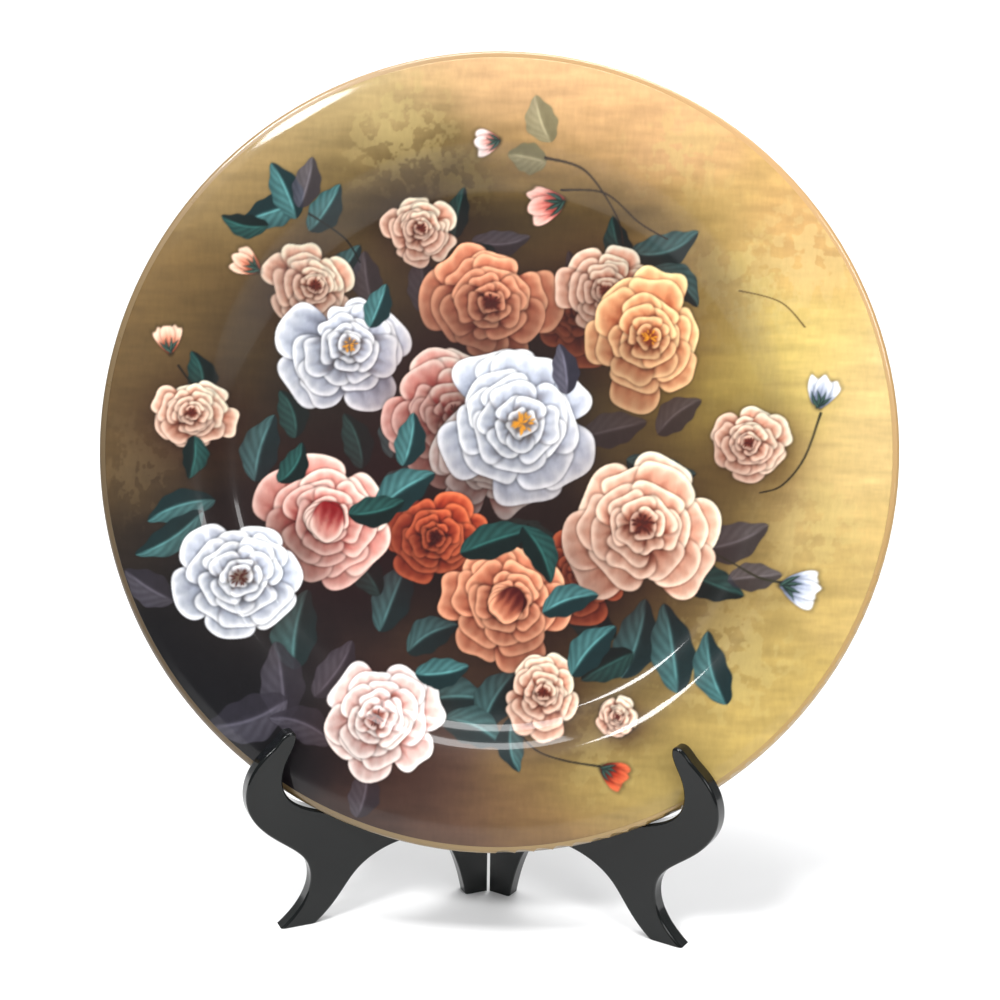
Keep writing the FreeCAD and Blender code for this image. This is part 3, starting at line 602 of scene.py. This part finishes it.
def paint_material():
    """Oil painting under clear lacquer: its colour, fine bristle marks, and an even gloss."""
    material, tree, shader = new_material("oil_painting")
    colour = add(tree, "ShaderNodeAttribute", attribute_name="paint").outputs["Color"]
    bristles = noise_node(tree, 420.0, 5.0, (1.0, 1.0, 0.3))
    darker = add(tree, "ShaderNodeMix", data_type="RGBA", blend_type="MULTIPLY")
    darker.inputs[0].default_value = 1.0
    tree.links.new(colour, darker.inputs[6])
    grey = add(tree, "ShaderNodeCombineColor")
    level = ranged(tree, bristles, 0.86, 1.12)
    for channel in ("Red", "Green", "Blue"):
        tree.links.new(level, grey.inputs[channel])
    tree.links.new(grey.outputs["Color"], darker.inputs[7])
    tree.links.new(darker.outputs[2], shader.inputs["Base Color"])
    tree.links.new(ranged(tree, noise_node(tree, 60.0), 0.38, 0.52), shader.inputs["Roughness"])
    shader.inputs["Specular IOR Level"].default_value = 0.15
    shader.inputs["Coat Weight"].default_value = 0.5
    shader.inputs["Coat Roughness"].default_value = 0.07
    add_bump(tree, shader, bristles, 0.16, 0.0004)
    return material


def tray_material():
    """The bare tray round the coat: the rim's ground colour in front, and dark lacquer behind."""
    material, tree, shader = new_material("tray_lacquer")
    place = add(tree, "ShaderNodeTexCoord")
    split = add(tree, "ShaderNodeSeparateXYZ")
    tree.links.new(place.outputs["Object"], split.inputs["Vector"])
    across = add(tree, "ShaderNodeMapRange")
    across.inputs["From Min"].default_value = -0.20
    across.inputs["From Max"].default_value = 0.14
    tree.links.new(split.outputs["X"], across.inputs["Value"])
    upward = add(tree, "ShaderNodeMapRange")
    upward.inputs["From Min"].default_value = 0.08
    upward.inputs["From Max"].default_value = 0.40
    tree.links.new(split.outputs["Z"], upward.inputs["Value"])
    low = blend_colours(tree, across.outputs["Result"], (0.010, 0.009, 0.013), (0.40, 0.26, 0.09))
    high = blend_colours(tree, across.outputs["Result"], (0.24, 0.16, 0.07), (0.56, 0.34, 0.15))
    front = blend_colours(tree, upward.outputs["Result"], low, high)
    normal = add(tree, "ShaderNodeNewGeometry")
    facing = add(tree, "ShaderNodeVectorMath", operation="DOT_PRODUCT")
    facing.inputs[1].default_value = tuple(TRAY_OUT)
    tree.links.new(normal.outputs["Normal"], facing.inputs[0])
    side = add(tree, "ShaderNodeMapRange")
    side.inputs["From Min"].default_value = -0.2
    side.inputs["From Max"].default_value = 0.2
    tree.links.new(facing.outputs["Value"], side.inputs["Value"])
    mottle = noise_node(tree, 35.0)
    back = blend_colours(tree, mottle, (0.008, 0.008, 0.009), (0.020, 0.018, 0.017))
    tree.links.new(blend_colours(tree, side.outputs["Result"], back, front), shader.inputs["Base Color"])
    tree.links.new(ranged(tree, mottle, 0.22, 0.38), shader.inputs["Roughness"])
    shader.inputs["Coat Weight"].default_value = 0.6
    shader.inputs["Coat Roughness"].default_value = 0.08
    add_bump(tree, shader, noise_node(tree, 300.0), 0.06, 0.0003)
    return material


def wood_material():
    """Black gloss lacquer on wood, with a trace of grain under it."""
    material, tree, shader = new_material("black_lacquered_wood")
    grain = noise_node(tree, 60.0, 6.0, (1.0, 1.0, 0.12))
    tree.links.new(
        blend_colours(tree, grain, (0.0022, 0.0030, 0.0030), (0.006, 0.0075, 0.0075)), shader.inputs["Base Color"]
    )
    tree.links.new(ranged(tree, noise_node(tree, 24.0), 0.10, 0.24), shader.inputs["Roughness"])
    shader.inputs["Specular IOR Level"].default_value = 0.25
    shader.inputs["Coat Weight"].default_value = 0.25
    shader.inputs["Coat Roughness"].default_value = 0.04
    add_bump(tree, shader, grain, 0.10, 0.0004)
    return material


def metal_material(name, first, second, rough, stretch):
    """Worn metal: two tones of tarnish and fine scratches."""
    material, tree, shader = new_material(name)
    tarnish = noise_node(tree, 260.0)
    tree.links.new(blend_colours(tree, tarnish, first, second), shader.inputs["Base Color"])
    shader.inputs["Metallic"].default_value = 1.0
    scratches = noise_node(tree, 900.0, 3.0, stretch)
    tree.links.new(ranged(tree, scratches, *rough), shader.inputs["Roughness"])
    add_bump(tree, shader, scratches, 0.08, 0.0002)
    return material


def dress(node, material):
    """Gives a carried-over CAD node its own material."""
    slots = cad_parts[node].data.materials
    slots.clear()
    slots.append(material)


# ---------------------------------------------------------------- surroundings


def add_floor():
    """A plain pale sweep: floor, curve and wall in one."""
    profile = [(-4.0, 0.0), (1.6, 0.0)]
    for step in range(1, 13):
        turn = step / 12 * math.pi / 2
        profile.append((1.6 + math.sin(turn), 1.0 - math.cos(turn)))
    profile.append((2.6, 5.0))
    vertices = [(x, y, z) for y, z in profile for x in (-5.0, 5.0)]
    faces = [(2 * i, 2 * i + 1, 2 * i + 3, 2 * i + 2) for i in range(len(profile) - 1)]
    mesh = bpy.data.meshes.new("floor")
    mesh.from_pydata(vertices, [], faces)
    mesh.polygons.foreach_set("use_smooth", [True] * len(faces))
    floor = bpy.data.objects.new("floor", mesh)
    bpy.context.scene.collection.objects.link(floor)
    material, tree, shader = new_material("pale_floor")
    tree.links.new(
        blend_colours(tree, noise_node(tree, 2.0), (0.86, 0.86, 0.86), (0.90, 0.90, 0.90)),
        shader.inputs["Base Color"],
    )
    shader.inputs["Roughness"].default_value = 0.85
    mesh.materials.append(material)


def add_light(name, place, target, size, energy):
    light = bpy.data.lights.new(name, "AREA")
    light.shape = "RECTANGLE"
    light.size, light.size_y = size
    light.energy = energy
    lamp = bpy.data.objects.new(name, light)
    lamp.location = place
    lamp.rotation_euler = (Vector(target) - Vector(place)).to_track_quat("-Z", "Y").to_euler()
    bpy.context.scene.collection.objects.link(lamp)


# Lights: place, what they point at, width and height, power.
LIGHTS = {
    "overhead": ((0.0, -0.25, 1.5), (0.0, 0.0, 0.25), (0.9, 0.35), 14.0),
    "key_left": ((-0.75, -1.15, 1.45), (0.0, 0.0, 0.25), (0.5, 0.3), 20.0),
    "front_right": ((1.2, -1.5, 1.2), (0.0, 0.0, 0.2), (0.6, 0.6), 13.0),
    "behind": ((0.4, 1.3, 1.6), (0.0, 0.0, 0.2), (0.8, 0.6), 10.0),
    "backdrop": ((0.0, 0.9, 2.2), (0.0, 2.6, 0.8), (3.0, 0.6), 60.0),
}

# The camera: its place, its yaw, pitch and roll in degrees, and its lens in millimetres.
CAMERA_PLACE = (0.060, -0.776, 0.394)
CAMERA_ANGLES = (4.10, 12.8, 0.75)
CAMERA_LENS = 57.6


def add_camera():
    """The photograph's viewing angle: a little above, and a little to the right."""
    yaw, pitch, roll = (math.radians(value) for value in CAMERA_ANGLES)
    forward = Vector((-math.sin(yaw) * math.cos(pitch), math.cos(yaw) * math.cos(pitch), -math.sin(pitch)))
    level = Vector((math.cos(yaw), math.sin(yaw), 0.0))
    upright = level.cross(forward)
    right = math.cos(roll) * level + math.sin(roll) * upright
    up = right.cross(forward)
    data = bpy.data.cameras.new("camera")
    data.lens = CAMERA_LENS
    data.sensor_width = 36.0
    data.dof.use_dof = False
    camera = bpy.data.objects.new("camera", data)
    turn = Matrix((right, up, -forward)).transposed()
    camera.matrix_world = Matrix.Translation(Vector(CAMERA_PLACE)) @ turn.to_4x4()
    bpy.context.scene.collection.objects.link(camera)
    bpy.context.scene.camera = camera


# ---------------------------------------------------------------- the scene

coat = make_paint(paint_tray())
coat.data.materials.append(paint_material())
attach(coat, "tray")

wood = wood_material()
brass = metal_material("satin_brass", (0.46, 0.30, 0.10), (0.66, 0.47, 0.18), (0.24, 0.42), (1.0, 1.0, 0.2))
steel = metal_material("drawn_steel", (0.30, 0.30, 0.31), (0.48, 0.48, 0.49), (0.25, 0.40), (0.3, 1.0, 1.0))
dress("tray_body", tray_material())
dress("rim_wire", steel)
for hand in ("left", "right"):
    dress(f"{hand}_board", wood)
    dress(f"{hand}_hinge_screws", brass)
    for level in ("lower", "upper"):
        dress(f"{level}_{hand}_leaf", brass)
for level in ("lower", "upper"):
    dress(f"{level}_hinge_pin", brass)

add_floor()
world = bpy.data.worlds.new("studio")
bpy.context.scene.world = world
world.use_nodes = True
world.node_tree.nodes["Background"].inputs["Color"].default_value = (0.97, 0.98, 1.0, 1.0)
world.node_tree.nodes["Background"].inputs["Strength"].default_value = 0.28
for name, (place, target, size, energy) in LIGHTS.items():
    add_light(name, place, target, size, energy)
bpy.context.scene.view_settings.view_transform = "Standard"
add_camera()
